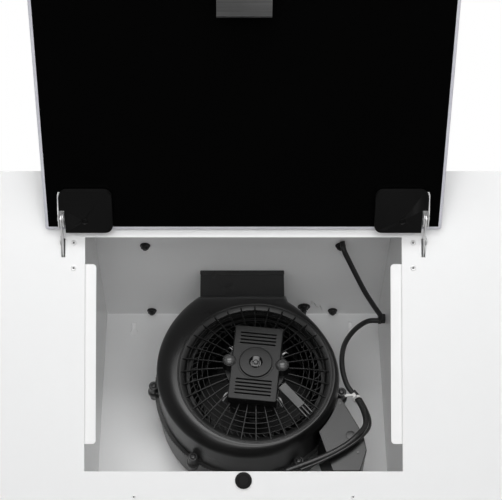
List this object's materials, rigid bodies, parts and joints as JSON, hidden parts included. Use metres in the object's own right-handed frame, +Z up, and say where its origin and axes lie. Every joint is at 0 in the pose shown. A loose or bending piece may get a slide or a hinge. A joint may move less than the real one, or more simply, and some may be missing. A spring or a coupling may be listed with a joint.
{
  "type": "cooker hood",
  "caption": "Inclined wall-mounted cooker hood with a lift-up glass door, open to show its centrifugal blower, motor, grille, wiring and duct collar.",
  "frame": {"origin": "on the wall face of the back panel, midway between the two hanging keyholes, 16.5 mm below the top", "axes": "+X to the right seen from the front, +Y into the wall, +Z up; the hood faces -Y"},
  "size_m": [0.6, 0.6478, 0.5019],
  "materials": {
    "cabinet_white": "white powder coat, satin",
    "inner_white": "white powder coat, duller inside",
    "black_glass": "toughened glass printed black behind, polished edge",
    "brushed_steel": "brushed",
    "zinc_steel": "bright zinc",
    "motor_steel": "dark plated steel",
    "black_plastic": "satin moulded",
    "blower_plastic": "fine moulded grain, dark grey-black",
    "cable_black": "smooth PVC sheath",
    "white_nylon": "natural nylon",
    "lamp_lens": "frosted lens"
  },
  "bodies": {
    "cabinet": {"front_panel": "cabinet_white", "back_panel": "inner_white", "top_panel": "inner_white", "bottom_panel": "cabinet_white", "left_side_panel": "cabinet_white", "right_side_panel": "cabinet_white", "left_chamber_wall": "inner_white", "right_chamber_wall": "inner_white", "hinge_arm_left": "zinc_steel", "hinge_arm_right": "zinc_steel", "rivet_upper_left": "cabinet_white", "rivet_upper_right": "cabinet_white", "rivet_lower_left": "cabinet_white", "rivet_lower_right": "cabinet_white", "magnet_catch": "black_plastic", "outlet_collar": "black_plastic", "damper_axle": "zinc_steel", "collar_screw_front_left": "black_plastic", "collar_screw_front_right": "black_plastic", "collar_screw_rear_left": "black_plastic", "collar_screw_rear_right": "black_plastic", "scroll_front_half": "blower_plastic", "scroll_rear_half": "blower_plastic", "lug_screw_left": "motor_steel", "lug_screw_lower_left": "motor_steel", "lug_screw_lower_right": "motor_steel", "lug_screw_right": "motor_steel", "inlet_grille": "blower_plastic", "motor_body": "motor_steel", "motor_cover": "blower_plastic", "cover_screw_left": "blower_plastic", "cover_screw_right": "blower_plastic", "cable_channel": "blower_plastic", "terminal_box": "blower_plastic", "terminal_box_lid": "blower_plastic", "run_capacitor": "white_nylon", "mains_cable": "cable_black", "blower_cable": "cable_black", "cable_tie": "white_nylon", "cable_clamp": "black_plastic", "control_bezel": "black_plastic", "lamp_left": "lamp_lens", "lamp_right": "lamp_lens"},
    "door": {"door_glass": "black_glass", "strike_bracket": "brushed_steel", "hinge_pad_left": "black_plastic", "hinge_pad_right": "black_plastic", "hinge_clevis_left": "zinc_steel", "hinge_clevis_right": "zinc_steel", "hinge_pin_left": "zinc_steel", "hinge_pin_right": "zinc_steel"},
    "wheel": {"impeller": "blower_plastic", "motor_shaft": "zinc_steel"},
    "flap_left": {"damper_flap_left": "black_plastic"},
    "flap_right": {"damper_flap_right": "black_plastic"},
    "button_low": {"speed_button_low": "black_plastic"},
    "button_mid": {"speed_button_mid": "black_plastic"},
    "button_high": {"speed_button_high": "black_plastic"},
    "button_light": {"light_button": "black_plastic"}
  },
  "joints": [
    {"name": "door_hinge", "type": "hinge", "parent": "cabinet", "child": "door", "pos_m": [0, -0.32026, -0.04323], "axis": [1, 0, 0], "range_deg": [0, 147.4]},
    {"name": "wheel_spin", "type": "hinge", "parent": "cabinet", "child": "wheel", "pos_m": [0.015, -0.07, -0.1405], "axis": [0, 1, 0], "continuous": true},
    {"name": "damper_left_swing", "type": "hinge", "parent": "cabinet", "child": "flap_left", "pos_m": [0, -0.09, 0.0365], "axis": [0, 1, 0], "range_deg": [0, 75]},
    {"name": "damper_right_swing", "type": "hinge", "parent": "cabinet", "child": "flap_right", "pos_m": [0, -0.09, 0.0365], "axis": [0, -1, 0], "range_deg": [0, 75]},
    {"name": "low_press", "type": "slide", "parent": "cabinet", "child": "button_low", "axis": [0, 0, 1], "range_m": [0, 0.003]},
    {"name": "mid_press", "type": "slide", "parent": "cabinet", "child": "button_mid", "axis": [0, 0, 1], "range_m": [0, 0.003]},
    {"name": "high_press", "type": "slide", "parent": "cabinet", "child": "button_high", "axis": [0, 0, 1], "range_m": [0, 0.003]},
    {"name": "light_press", "type": "slide", "parent": "cabinet", "child": "button_light", "axis": [0, 0, 1], "range_m": [0, 0.003]}
  ]
}
